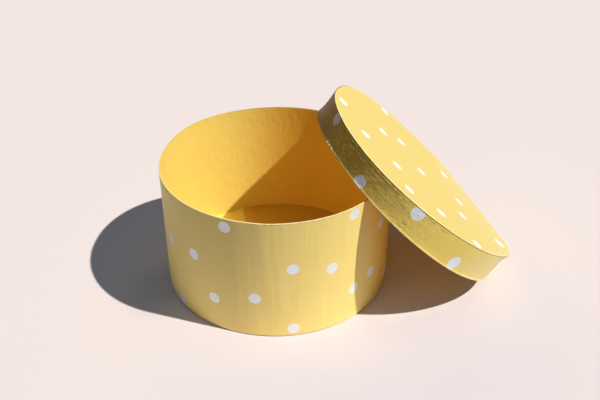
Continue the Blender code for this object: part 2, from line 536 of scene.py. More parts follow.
@dataclass(frozen=True)
class Dots:
    """Round dots printed on a paper.

    Attributes:
        places: Their centres, measured from the paper's seat.
        radius: How large they are.
        stray: How far their edge wavers.
        stray_grain: The length of one waver.
        edge: How soft their edge is.
        gaps_share: How much of the paper shows through the print.
        pearl_share: How much the print mirrors, as pearl ink does.
        dull: Where along X painted shade dims the print, and to what colour, if it does.
        cracked: The stretch where they are cracked, if they are.
    """

    places: tuple[Vector, ...]
    radius: float = 4.6 * MM
    stray: float = 0.25 * MM
    stray_grain: float = 1.6 * MM
    edge: float = 0.12 * MM
    gaps_share: float = 0.10
    pearl_share: float = 0.25
    dull: "Fade | None" = None
    cracked: "Span | None" = None

    @classmethod
    def round_wall(
        cls,
        shares: Iterable[tuple[float, float]],
        wall_radius: float,
        wall_height: float,
        **looks: Any,
    ) -> "Dots":
        """Spread dots round an upright wall.

        Args:
            shares: The turn in degrees and the height, as a share of the wall's, of each dot.
            wall_radius: The radius of the wall.
            wall_height: Its height.
            looks: What the dots have besides.

        Returns:
            The dots.
        """
        places = (on_wall(wall_radius, turn, share * wall_height) for turn, share in shares)
        return cls(tuple(places), **looks)

    def print_on(self, nodes: Nodes, at: Wire) -> Wire:
        """Print the dots.

        Args:
            nodes: The tree to fill.
            at: The place on the paper.

        Returns:
            1 inside a dot and 0 outside it.
        """
        waver = nodes.waver(at, self.stray_grain) * (2 * self.stray)
        distance = nodes.nearest(at, self.places) + waver
        return distance.fall(self.radius - self.edge, self.radius + self.edge)

    def gaps(self, fibre: Wire) -> Wire:
        """Return how much of the paper shows through between the fibres."""
        return (fibre - CLOUD_MIDDLE).ramp(*PRINT_GAPS, 0.0, self.gaps_share)

    def ink(self, nodes: Nodes, at: Wire, fibre: Wire) -> Wire:
        """Return the colour of the print.

        Args:
            nodes: The tree to fill.
            at: The place on the paper.
            fibre: The cloud of the paper's fibres.

        Returns:
            The colour, with painted shade and cracks where the print has them.
        """
        full = (fibre - THIN_INK_FROM) * THIN_INK_GAIN
        white = nodes.blend(full, shade(DOT_WHITE, THIN_INK_SHADE), DOT_WHITE)
        # Painted shade dims the dots
        if self.dull:
            white = nodes.blend(self.dull.share(nodes, at), self.dull.dye, white)
        if self.cracked:
            cracks = abs(nodes.waver(at, CRACK_GRAIN)).ramp(0.0, CRACK_WIDTH, CRACK_SHARE, 0.0)
            cracks = cracks * self.cracked.share(nodes, at)
            white = nodes.blend(cracks, white, shade(DOT_SHADE_AND_CRACK_GREY, CRACK_SHADE))
        return white


@dataclass(frozen=True)
class Span:
    """A stretch of a paper, from one place along X to another, with soft ends.

    Attributes:
        start: Where it begins.
        end: Where it ends.
        ease: How long its start takes.
        end_ease: How long its end takes.
    """

    start: float
    end: float
    ease: float
    end_ease: float

    @classmethod
    def along(cls, radius: float, *shares: float) -> "Span":
        """Give a stretch in shares of a radius, in the order of its attributes."""
        return cls(*(share * radius for share in shares))

    def share(self, nodes: Nodes, at: Wire) -> Wire:
        """Find the stretch on the paper.

        Args:
            nodes: The tree to fill.
            at: The place on the paper.

        Returns:
            1 within the stretch and 0 outside it.
        """
        along = nodes.axis(at, 0)
        begun = along.ramp(self.start, self.start + self.ease)
        return begun * along.fall(self.end - self.end_ease, self.end)


class Along(Enum):
    """What a passage from one dye to another follows."""

    X = 0
    Y = 1
    RADIUS = 3


@dataclass(frozen=True)
class Fade:
    """A second colour, which a paper passes to; besides dyes, these include painted shade and
    light.

    Attributes:
        dye: The second colour.
        start: Where the passage begins.
        end: Where it is complete.
        along: What the passage follows.
        within: Another passage, outside which this one doesn't show.
    """

    dye: Colour
    start: float
    end: float
    along: Along = Along.X
    within: "Fade | None" = None

    def share(self, nodes: Nodes, at: Wire) -> Wire:
        """Find how far the passage has gone.

        Args:
            nodes: The tree to fill.
            at: The place on the paper.

        Returns:
            The share, from 0 to 1.
        """
        by_radius = self.along is Along.RADIUS
        passed = nodes.radius(at) if by_radius else nodes.axis(at, self.along.value)
        gone = passed.ramp(self.start, self.end)
        return gone * self.within.share(nodes, at) if self.within else gone


@dataclass(frozen=True)
class Crease:
    """A crease that runs round a paper, with painted shade along it.

    Attributes:
        height: Its middle height above the seat.
        span: The stretch that it runs along.
        waver: How far it wanders up and down.
        width: How wide it is.
        dark_share: How dark the painted shade in it is.
        depth: How deep it is.
    """

    height: float
    span: Span
    waver: float
    width: float
    dark_share: float
    depth: float = 0.35 * MM

    def line(self, nodes: Nodes, at: Wire) -> Wire:
        """Draw the crease.

        Args:
            nodes: The tree to fill.
            at: The place on the paper.

        Returns:
            1 on the crease and 0 off it.
        """
        wander = nodes.waver(at, CREASE_WANDER, detail=3.0, rough=0.6)
        middle = wander * (CLOUD_REACH * self.waver) + self.height
        whole = nodes.cloud(at, CREASE_GAP, detail=1.0).ramp(*CREASE_WHOLE)
        off = abs(nodes.axis(at, 2) - middle)
        line = off.fall(CREASE_CORE_SHARE * self.width, self.width)
        return line * self.span.share(nodes, at) * whole


@dataclass(frozen=True)
class Crinkle:
    """A crushed stretch of paper, with dents, painted shade in them and painted highlights on
    ridges.

    Attributes:
        span: The stretch.
        grain: The size of a dent along X, Y and Z.
        depth: How deep the dents are.
        dark_share: How dark the painted shade in the dents is.
        pale_share: How pale the painted highlights on the ridges are.
    """

    span: Span
    grain: Sequence[float] = (3.6 * MM, 3.6 * MM, 1.3 * MM)
    depth: float = 0.5 * MM
    dark_share: float = 0.65
    pale_share: float = 0.5

    def dents(self, nodes: Nodes, at: Wire) -> Wire:
        """Return the height of the crushed surface, from 0 to 1."""
        return nodes.cloud(at, self.grain, detail=2.0, rough=0.6)

    def patches(self, nodes: Nodes, at: Wire) -> Wire:
        """Return where the dents gather, from 0 to 1."""
        return nodes.cloud(at, PATCH_GRAIN).ramp(*PATCHES)

    def flecks(self, dents: Wire) -> Wire:
        """Return how dark the painted shade in the dents is."""
        return dents.ramp(*DARK_DENTS, self.dark_share, 0.0)

    def streaks(self, dents: Wire) -> Wire:
        """Return how pale the painted highlights on the ridges are."""
        return dents.ramp(*PALE_DENTS, 0.0, self.pale_share)


@dataclass(frozen=True)
class LapShadow:
    """A painted shadow line on a paper, along the edge of another that laps over it.

    Attributes:
        height: Where the other paper ends.
        start: The place along X where the line begins to change.
        end: The place along X where it has changed.
        start_share: How dark it is up to the first place.
        end_share: How dark it is from the second on.
        width: How wide it is.
        waver_grain: The length of one waver of its edge.
    """

    height: float
    start: float
    end: float
    start_share: float = 0.92
    end_share: float = 0.4
    width: float = 0.7 * MM
    waver_grain: float = 5 * MM

    def line(self, nodes: Nodes, at: Wire) -> Wire:
        """Draw the painted shadow line.

        Args:
            nodes: The tree to fill.
            at: The place on the paper.

        Returns:
            How dark it is, from 0 to 1.
        """
        off = self.height - nodes.axis(at, 2) + nodes.waver(at, self.waver_grain) * self.width
        strong = nodes.axis(at, 0).ramp(self.start, self.end, self.start_share, self.end_share)
        return off.fall(*(share * self.width for share in LAP_SHADOW_FADE_SHARES)) * strong


@dataclass(frozen=True)
class Scuff:
    """A spot where the dye is torn off.

    Attributes:
        place: Its middle, measured from the paper's seat.
        radius: How large it is.
    """

    place: Vector
    radius: float


@dataclass(frozen=True)
class WearAndHighlight:
    """Pale folds, partly bare of dye and partly painted highlight, growing towards one side.

    Attributes:
        folds: The radius and the height of each fold.
        width: How far the pale fold reaches.
        side: The axis along which it grows.
        start: Where along that axis it begins.
        end: Where it is full.
        least: Its strength where it hasn't begun.
    """

    folds: tuple[tuple[float, float], ...]
    width: float
    side: Along
    start: float
    end: float
    least: float = 0.0

    def share(self, nodes: Nodes, at: Wire) -> Wire:
        """Find how pale the folds are, partly by the dye coming off and partly by painted
        highlight.

        Args:
            nodes: The tree to fill.
            at: The place on the paper.

        Returns:
            The share, from 0 to 1.
        """
        out = nodes.radius(at)
        height = nodes.axis(at, 2)
        offs = [
            ((out - radius) ** 2 + (height - level) ** 2) ** 0.5 for radius, level in self.folds
        ]
        worn_and_lit = reduce(Wire.least, offs).fall(RUB_AND_HIGHLIGHT_CORE_SHARE * self.width, self.width)
        worn_and_lit = worn_and_lit * nodes.cloud(at, RUB_AND_HIGHLIGHT_GRAIN, detail=3.0, rough=0.6).ramp(*RUB_AND_HIGHLIGHT_BREAKS)
        return worn_and_lit * nodes.axis(at, self.side.value).ramp(self.start, self.end, self.least, 1.0)


@dataclass(frozen=True)
class Paper:
    """A coated paper.

    Attributes:
        name: The finish's name.
        dye: Its colour.
        seat: What its pattern is turned about.
        swell: The size of its slow swells along X, Y and Z.
        roughness: How matt it is.
        sheen: How much it mirrors, where a half is the usual amount.
        mottle_share: How much its colour varies over a hand's breadth.
        fibre_share: How much its colour varies from fibre to fibre.
        fibre_depth: How far the fibres stand up.
        swell_depth: How high its slow swells are.
        wear_and_highlight: Where its folds are bare of dye and painted pale as highlight, if they
            are.
        lap_shadow: The painted shadow line under another paper's edge, if any.
        fades: The colours that it passes to: dyes, and painted shade and light.
        dots: The dots printed on it, if any.
        crinkle: The stretch of crinkles in it, if any.
        creases: The creases in it.
        scuffs: The spots where its dye is torn off.
        lean: How far its face leans in towards the foot, at the start of its X range and at
            the end, as angles.
        unbent: Whether its pattern was printed before the sheet bent.
    """

    name: str
    dye: Colour
    seat: Seat
    swell: Sequence[float]
    roughness: float = 0.48
    sheen: float = 0.25
    mottle_share: float = 0.05
    fibre_share: float = 0.05
    fibre_depth: float = 0.05 * MM
    swell_depth: float = 0.25 * MM
    wear_and_highlight: WearAndHighlight | None = None
    lap_shadow: LapShadow | None = None
    fades: tuple[Fade, ...] = ()
    dots: Dots | None = None
    crinkle: Crinkle | None = None
    creases: tuple[Crease, ...] = ()
    scuffs: tuple[Scuff, ...] = ()
    lean: tuple[float, float] | None = None
    unbent: bool = False

    def make(self) -> bpy.types.Material:
        """Build the paper's material.

        Returns:
            The material.
        """
        material = bpy.data.materials.new(self.name)
        nodes = Nodes(material)
        at = nodes.place(self.seat, self.unbent)
        fibre = nodes.cloud(at, FIBRE_GRAIN, detail=4.0, rough=0.65)
        mottle = nodes.cloud(at, MOTTLE_GRAIN, detail=3.0, rough=0.55)
        fibres = fibre - CLOUD_MIDDLE
        mottles = mottle - CLOUD_MIDDLE
        tone = mottles * (CLOUD_REACH * self.mottle_share)
        tone = tone + fibres * (CLOUD_REACH * self.fibre_share)
        colour = self._dyed(nodes, at, tone + CLOUD_MIDDLE)
        roughness = mottles * MOTTLE_SWAY + fibres * FIBRE_SWAY + self.roughness
        normal = self._swollen(nodes, at)
        normal = nodes.relief(fibre, self.fibre_depth, normal)
        # Painted shade in the crinkles' dents and along the creases
        dent_and_crease_shade: list[Wire] = []
        if self.crinkle:
            crushed = self.crinkle.span.share(nodes, at) * self.crinkle.patches(nodes, at)
            dents = self.crinkle.dents(nodes, at)
            normal = nodes.relief(dents * crushed, self.crinkle.depth, normal)
            dent_and_crease_shade.append(self.crinkle.flecks(dents) * crushed)
            # Painted highlights on the crinkles' ridges
            lit_ridges = self.crinkle.streaks(dents) * crushed
            colour = nodes.blend(lit_ridges, colour, paler(DOTTED_DYE))
        for crease in self.creases:
            line = crease.line(nodes, at)
            normal = nodes.relief(1 - line, crease.depth, normal)
            dent_and_crease_shade.append(line * crease.dark_share)
        if dent_and_crease_shade:
            colour = nodes.blend(reduce(Wire.most, dent_and_crease_shade), colour, shade(self.dye, DENT_AND_CREASE_SHADE))
        pearl: Wire | float = 0.0
        if self.dots:
            printed = self.dots.print_on(nodes, at)
            ink = self.dots.ink(nodes, at, fibre)
            colour = nodes.blend(printed * (1 - self.dots.gaps(fibre)), colour, ink)
            roughness = roughness - printed * PRINT_ROUGHNESS
            pearl = printed * self.dots.pearl_share
        # A painted shadow line under an overlapping edge
        if self.lap_shadow:
            colour = nodes.blend(self.lap_shadow.line(nodes, at), colour, shade(RIM_PAINTED_SHADE_DYE, LAP_SHADOW_SHADE))
        # Pale folds, partly bare of dye and partly painted highlight, and scuffs where the dye is
        # torn off
        if self.wear_and_highlight:
            colour = nodes.blend(self._worn_and_lit(nodes, at), colour, RUBBED_AND_LIT_DYE)
        nodes.surface(
            {
                "Base Color": colour,
                "Roughness": roughness,
                "Metallic": pearl,
                "Normal": normal,
                "IOR": PAPER_IOR,
                "Specular IOR Level": self.sheen,
            }
        )
        return material

    def _swollen(self, nodes: Nodes, at: Wire) -> Wire:
        """Raise the paper's slow swells, and lean its face where it does.

        Args:
            nodes: The tree to fill.
            at: The place on the paper.

        Returns:
            The normal.
        """
        swells = nodes.cloud(at, self.swell, detail=2.0, rough=0.45)
        normal = nodes.relief(swells, self.swell_depth)
        if not self.lean:
            return normal
        start, end = (math.tan(angle) for angle in self.lean)
        slope = nodes.axis(at, 0).ramp(self.fades[0].start, self.fades[0].end, start, end)
        return nodes.relief(slope * nodes.axis(at, 2), 1.0, normal)

    def _dyed(self, nodes: Nodes, at: Wire, tone: Wire) -> Wire:
        """Vary the dye, from a little deeper to a little paler, and pass to the other colours.

        Args:
            nodes: The tree to fill.
            at: The place on the paper.
            tone: How pale the dye is, from 0 to 1.

        Returns:
            The colour.
        """
        colour: Wire | None = None
        for fade in (None, *self.fades):
            dye = fade.dye if fade else self.dye
            varied = nodes.blend(tone, deeper(dye), paler(dye))
            colour = nodes.blend(fade.share(nodes, at), colour, varied) if fade else varied
        return colour

    def _worn_and_lit(self, nodes: Nodes, at: Wire) -> Wire:
        """Rub the dye off at the scuffs, and along the folds, where highlight is painted too.

        Args:
            nodes: The tree to fill.
            at: The place on the paper.

        Returns:
            How far it is off, from 0 to 1.
        """
        worn_and_lit = self.wear_and_highlight.share(nodes, at)
        for scuff in self.scuffs:
            ragged = nodes.waver(at, SCUFF_GRAIN, detail=3.0, rough=0.7)
            spot = nodes.nearest(at, [scuff.place]) + ragged * (SCUFF_REACH * scuff.radius)
            worn_and_lit = worn_and_lit.most(spot.fall(SCUFF_CORE_SHARE * scuff.radius, scuff.radius))
        return worn_and_lit


@dataclass(frozen=True)
class Board:
    """Grey board or gummed tape, with coarse fibres.

    Attributes:
        name: The finish's name.
        colour: Its middle colour.
        fibre: The length of its fibres along X, Y and Z.
        fleck: The size of its dark flecks.
        fleck_edge: Where in a cloud of that size a fleck begins, and where it is full.
        roughness: How matt it is.
        depth: How far its fibres stand up.
    """

    name: str
    colour: Colour
    fibre: Sequence[float] = (1.2 * MM, 1.2 * MM, 0.5 * MM)
    fleck: float = 2.2 * MM
    fleck_edge: tuple[float, float] = (0.62, 0.70)
    roughness: float = 0.9
    depth: float = 0.12 * MM

    def make(self) -> bpy.types.Material:
        """Build the board's material.

        Returns:
            The material.
        """
        material = bpy.data.materials.new(self.name)
        nodes = Nodes(material)
        at = nodes.position()
        fibres = nodes.cloud(at, self.fibre, detail=5.0, rough=0.7)
        flecks = nodes.cloud(at, self.fleck).ramp(*self.fleck_edge)
        dark = shade(self.colour, BOARD_DARK)
        pale = tuple(min(part * BOARD_PALE, 1.0) for part in self.colour)
        colour = nodes.blend(fibres.ramp(*BOARD_FIBRES), dark, pale)
        colour = nodes.blend(flecks * BOARD_FLECKS, colour, dark)
        nodes.surface(
            {
                "Base Color": colour,
                "Roughness": (fibres - CLOUD_MIDDLE) * BOARD_SWAY + self.roughness,
                "Normal": nodes.relief(fibres, self.depth),
                "Specular IOR Level": BOARD_SHEEN,
            }
        )
        return material


@dataclass(frozen=True)
class Swell:
    """A slow swell or a crinkle in a sheet of paper.

    Attributes:
        grain: Its size along X, Y and Z.
        depth: How far it moves the paper, to either side.
        push: The way in which it moves the paper.
        share_at: How much of the depth a place gets, from 0 to 1.
        layers: How many finer layers it has.
    """

    grain: Sequence[float]
    depth: float
    push: Push = Push.NORMAL
    share_at: Callable[[Vector], float] | None = None
    layers: int = 1

    def shape(self, sheet: bpy.types.Object) -> None:
        """Press the swell into a sheet.

        Args:
            sheet: The sheet, which is still one layer of faces.
        """
        pattern = bpy.data.textures.new("swell", type="CLOUDS")
        pattern.noise_scale = 1.0
        pattern.noise_depth = self.layers
        bpy.ops.object.empty_add(location=(0, 0, 0))
        guide = bpy.context.object
        guide.scale = self.grain
        bpy.context.view_layer.update()
        points = sheet.data.vertices
        shares = [self.share_at(point.co) for point in points] if self.share_at else None
        displace(
            sheet,
            shares,
            texture=pattern,
            texture_coords="OBJECT",
            texture_coords_object=guide,
            direction=self.push.value,
            mid_level=CLOUD_MIDDLE,
            strength=2 * self.depth,
        )
        bpy.data.objects.remove(guide)
        bpy.data.textures.remove(pattern)


@dataclass(frozen=True)
class Hollow:
    """A stretch where a sheet lies deeper.

    Attributes:
        depth: How much deeper it lies.
        share_at: How much of the depth a place gets, from 0 to 1.
    """

    depth: float
    share_at: Callable[[Vector], float]

    def shape(self, sheet: bpy.types.Object) -> None:
        """Press the hollow into a sheet that is still one layer of faces."""
        shares = [self.share_at(point.co) for point in sheet.data.vertices]
        displace(sheet, shares, mid_level=0.0, strength=-self.depth)


@dataclass(frozen=True)
class Press:
    """A stretch round a rim's upper or lower edge that has been pushed in or out.

    Attributes:
        depth: How far it is pushed in, or less than zero where it bulges.
        turn: The turn in degrees at its middle.
        spread: How far round from there it reaches, in degrees.
        low: Whether it is the lower edge.
        edge: How closely it keeps to the upper edge, from 1 up.
        lift: How far it is raised.
    """

    depth: float
    turn: float
    spread: float
    low: bool = False
    edge: int = 1
    lift: float = 0.0

    def push(self, reach: float, turn: float, up: float) -> Vector:
        """Return the move of a place.

        Args:
            reach: How far out the place is, as a share of the radius.
            turn: Its turn in degrees.
            up: Its height, as a share of the rim's.

        Returns:
            The move.
        """
        off = abs((turn - self.turn + 180) % 360 - 180)
        share = reach * (1 - up**2) if self.low else reach ** (2 * self.edge) * up**self.edge
        inward = math.radians(self.turn + 180)
        share *= smooth(1 - off / self.spread)
        across = self.depth * share
        return Vector((across * math.cos(inward), across * math.sin(inward), self.lift * share))


@dataclass(frozen=True)
class Warp:
    """How a round piece of card has bent since it was made.

    Attributes:
        radius: Its radius.
        height: Its height.
        presses: Where its edges have been pushed in or out.
        saddle: How far its top edge rises and dips, twice round.
        saddle_turn: The turn in degrees at which it rises most.
        tip: How far its top edge is raised on one side and lowered on the other.
        tip_turn: The turn of the raised side.
        dish: How far its top edge rises all round.
    """

    radius: float
    height: float
    presses: tuple[Press, ...]
    saddle: float = 0.0
    saddle_turn: float = 0.0
    tip: float = 0.0
    tip_turn: float = 0.0
    dish: float = 0.0

    def push(self, place: Vector) -> Vector:
        """Return how far a place on the unbent piece has moved.

        Args:
            place: The place, in the piece's own coordinates.

        Returns:
            The move, in the same coordinates.
        """
        reach = math.hypot(place.x, place.y) / self.radius
        turn = math.degrees(math.atan2(place.y, place.x))
        rise = (
            self.dish * reach**2
            + self.tip * reach * math.cos(math.radians(turn - self.tip_turn))
            + self.saddle * reach**2 * math.cos(math.radians(2 * (turn - self.saddle_turn)))
        )
        up = place.z / self.height
        pushed = sum((press.push(reach, turn, up) for press in self.presses), Vector((0, 0, 0)))
        return pushed + Vector((0, 0, up * rise))

    def shape(self, sheet: bpy.types.Object) -> None:
        """Bend a sheet.

        Args:
            sheet: The sheet, which is still flat or round.
        """
        pushes = [self.push(point.co) for point in sheet.data.vertices]
        for axis, name in enumerate("XYZ"):
            for way in (1, -1):
                most = max(way * push[axis] for push in pushes)
                if most > LEAST_PUSH:
                    shares = [max(way * push[axis] / most, 0.0) for push in pushes]
                    displace(sheet, shares, direction=name, mid_level=0.0, strength=way * most)


@dataclass
class Sheet:
    """A sheet of paper or board turned round an axis.

    Attributes:
        name: The piece's name.
        corners: The radius and height of each corner of its shown side, from cut edge to cut
            edge. A last radius of 0 closes it at the axis.
        facing: The side that shows.
        seat: Where it stands.
        fold_radius: How tightly it is folded at its corners.
        run_facet: The length of a facet on a straight run.
        swells: What the paper's surface does besides.
        hollow: Where it lies deeper, if it does.
        warp: How the whole has bent, if it has.
        thickness: How thick it is.
        arc: The turns in degrees between which it is kept, if it doesn't go all round.
    """

    name: str
    corners: Outline
    facing: Facing
    seat: Seat
    fold_radius: float = 0.6 * MM
    run_facet: float = RUN_FACET
    swells: tuple[Swell, ...] = ()
    hollow: Hollow | None = None
    warp: Warp | None = None
    thickness: float = PAPER
    arc: tuple[float, float] | None = None

    def outline(self) -> Outline:
        """Round the corners, and divide the straight runs into facets.

        Returns:
            The radius and the height of each point.
        """
        corners = [Vector(corner) for corner in self.corners]
        bends = [corners[0]]
        for before, corner, after in zip(corners, corners[1:], corners[2:]):
            bends += self._fold(before, corner, after)
        bends.append(corners[-1])
        points = [bends[0]]
        for start, end in zip(bends, bends[1:]):
            count = max(1, round((end - start).length / self.run_facet))
            points += [start.lerp(end, step / count) for step in range(1, count + 1)]
        return [(point.x, point.y) for point in points]

    def _fold(self, before: Vector, corner: Vector, after: Vector) -> list[Vector]:
        """Round one square corner with a short arc.

        Args:
            before: The corner before it.
            corner: The corner.
            after: The corner after it.

        Returns:
            The points of the arc.
        """
        back = (before - corner).normalized() * self.fold_radius
        on = (after - corner).normalized() * self.fold_radius
        centre = corner + back + on
        quarter = math.pi / 2
        return [
            centre - on * math.cos(quarter * step / FOLD_FACETS)
            - back * math.sin(quarter * step / FOLD_FACETS)
            for step in range(FOLD_FACETS + 1)
        ]

    def lay(self, finish: bpy.types.Material, node: str) -> None:
        """Model the sheet, dress it, and put it in the place of a node of its seat's body.

        Args:
            finish: Its finish.
            node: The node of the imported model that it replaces.
        """
        sheet = self.model()
        dress(sheet, finish)
        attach(sheet, self.seat.body)
        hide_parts(node)
        report(sheet)

    def model(self) -> bpy.types.Object:
        """Turn the outline ring by ring, bend it, and give it its swells and its thickness.

        Returns:
            The sheet.
        """
        points = self.outline()
        closed = points[-1][0] == 0
        rings = points[:-1] if closed else points
        bpy.ops.object.select_all(action="DESELECT")
        bpy.ops.mesh.primitive_circle_add(
            vertices=TURN_FACETS, radius=rings[0][0], fill_type="NOTHING", calc_uvs=False
        )
        sheet = bpy.context.object
        sheet.name = sheet.data.name = self.name
        bpy.ops.object.mode_set(mode="EDIT")
        bpy.ops.mesh.select_all(action="SELECT")
        bpy.ops.transform.translate(value=(0, 0, rings[0][1]))
        for (radius, height), (next_radius, next_height) in zip(rings, rings[1:]):
            rise = {"value": (0, 0, next_height - height)}
            bpy.ops.mesh.extrude_region_move(TRANSFORM_OT_translate=rise)
            share = next_radius / radius
            bpy.ops.transform.resize(
                value=(share, share, 1), center_override=(0, 0, next_height)
            )
        if closed:
            bpy.ops.mesh.extrude_region_move(TRANSFORM_OT_translate={"value": (0, 0, 0)})
            bpy.ops.mesh.merge(type="CENTER")
        bpy.ops.mesh.select_all(action="SELECT")
        bpy.ops.mesh.normals_make_consistent(inside=False)
        bpy.ops.object.mode_set(mode="OBJECT")
        if not self._faces_right(sheet):
            bpy.ops.object.mode_set(mode="EDIT")
            bpy.ops.mesh.flip_normals()
            bpy.ops.object.mode_set(mode="OBJECT")
        if self.arc:
            self._cut(sheet)
        if self.warp:
            keep = sheet.data.attributes.new(UNBENT, "FLOAT_VECTOR", "POINT")
            for vertex in sheet.data.vertices:
                keep.data[vertex.index].vector = vertex.co
            if self.hollow:
                self.hollow.shape(sheet)
            self.warp.shape(sheet)
        for swell in self.swells:
            swell.shape(sheet)
        self._thicken(sheet)
        set_down(sheet, self.seat)
        return sheet

    def _cut(self, sheet: bpy.types.Object) -> None:
        """Keep only the stretch between the two ends of the arc.

        Args:
            sheet: The sheet.
        """
        for degrees, way in zip(self.arc, (1, -1)):
            turn = math.radians(degrees)
            take_up(sheet)
            bpy.ops.object.mode_set(mode="EDIT")
            bpy.ops.mesh.select_all(action="SELECT")
            bpy.ops.mesh.bisect(
                plane_co=(0, 0, 0),
                plane_no=(-way * math.sin(turn), way * math.cos(turn), 0),
                clear_inner=True,
            )
            bpy.ops.object.mode_set(mode="OBJECT")

    def _faces_right(self, sheet: bpy.types.Object) -> bool:
        """Tell whether the sheet shows the right side.

        Args:
            sheet: The sheet.

        Returns:
            Whether the faces of its first straight run point to the side that shows.
        """
        faces = sheet.data.polygons
        if self.facing in (Facing.OUTWARD, Facing.INWARD):
            face = max(faces, key=lambda item: math.hypot(item.center.x, item.center.y))
            outward = face.normal.x * face.center.x + face.normal.y * face.center.y
            return outward > 0 if self.facing is Facing.OUTWARD else outward < 0
        face = min(faces, key=lambda item: math.hypot(item.center.x, item.center.y))
        return face.normal.z > 0 if self.facing is Facing.UP else face.normal.z < 0

    def _thicken(self, sheet: bpy.types.Object) -> None:
        """Give the sheet its thickness, behind the side that shows.

        Args:
            sheet: The sheet.
        """
        take_up(sheet)
        bpy.ops.object.modifier_add(type="SOLIDIFY")
        body = sheet.modifiers[-1]
        body.thickness = self.thickness
        body.offset = -1
        body.use_even_offset = True
        bpy.ops.object.modifier_apply(modifier=body.name)
        bpy.ops.object.shade_smooth_by_angle(angle=SMOOTH_ANGLE)


def take_up(piece: bpy.types.Object) -> None:
    """Make a piece the only one selected, and the active one.

    Args:
        piece: The piece.
    """
    bpy.ops.object.select_all(action="DESELECT")
    piece.select_set(True)
    bpy.context.view_layer.objects.active = piece


def displace(sheet: bpy.types.Object, shares: Sequence[float] | None, **settings: Any) -> None:
    """Move the points of a sheet by a Displace modifier, and apply it.

    Args:
        sheet: The sheet.
        shares: How much of the strength each point gets, from 0 to 1, or None for all of it.
        settings: The modifier's settings.
    """
    take_up(sheet)
    bpy.ops.object.modifier_add(type="DISPLACE")
    press = sheet.modifiers[-1]
    for name, setting in settings.items():
        setattr(press, name, setting)
    if shares is not None:
        group = sheet.vertex_groups.new(name="shares")
        for index, share in enumerate(shares):
            group.add([index], share, "REPLACE")
        press.vertex_group = group.name
    bpy.ops.object.modifier_apply(modifier=press.name)
    sheet.vertex_groups.clear()


def set_down(piece: bpy.types.Object, seat: Seat) -> None:
    """Put a finished piece on its seat, with the place in its mesh.

    Args:
        piece: The piece.
        seat: The seat.
    """
    take_up(piece)
    piece.matrix_world = seat.matrix
    bpy.ops.object.transform_apply(location=True, rotation=True, scale=True)


def dress(piece: bpy.types.Object, finish: bpy.types.Material) -> None:
    """Give a piece one finish all over."""
    piece.data.materials.clear()
    piece.data.materials.append(finish)


def dress_solid(node: str, finish: bpy.types.Material) -> None:
    """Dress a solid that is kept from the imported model.

    Args:
        node: The solid's node.
        finish: Its finish.
    """
    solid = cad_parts[node]
    dress(solid, finish)
    report(solid)


def report(piece: bpy.types.Object) -> None:
    """Log a finished piece's faces and size."""
    size = [round(length / MM, 1) for length in piece.dimensions]
    log.info("%s: %d faces, %s mm", piece.name, len(piece.data.polygons), size)


def shade(colour: Colour, share: float) -> Colour:
    """Darken a colour to a share of itself."""
    return tuple(part * share for part in colour)


def deeper(colour: Colour) -> Colour:
    """Return a colour as a paper's deeper fibres have it."""
    return tuple(part * share for part, share in zip(colour, DEEPER_SHARES))


def paler(colour: Colour) -> Colour:
    """Return a colour as a paper's paler fibres have it."""
    return tuple(min(part * share, 1.0) for part, share in zip(colour, PALER_SHARES))


def smooth(share: float) -> float:
    """Ease a share from 0 to 1, and hold it to that range."""
    held = min(max(share, 0.0), 1.0)
    return held * held * (3 - 2 * held)


def outward(place: Vector, inner: float, outer: float) -> float:
    """Return how far a place has come from an inner radius, at 0, to an outer one, at 1."""
    return (math.hypot(place.x, place.y) - inner) / (outer - inner)


def on_wall(radius: float, degrees: float, height: float) -> Vector:
    """Return a place on an upright round wall, in the coordinates of its seat."""
    turn = math.radians(degrees)
    return Vector((radius * math.cos(turn), radius * math.sin(turn), height))


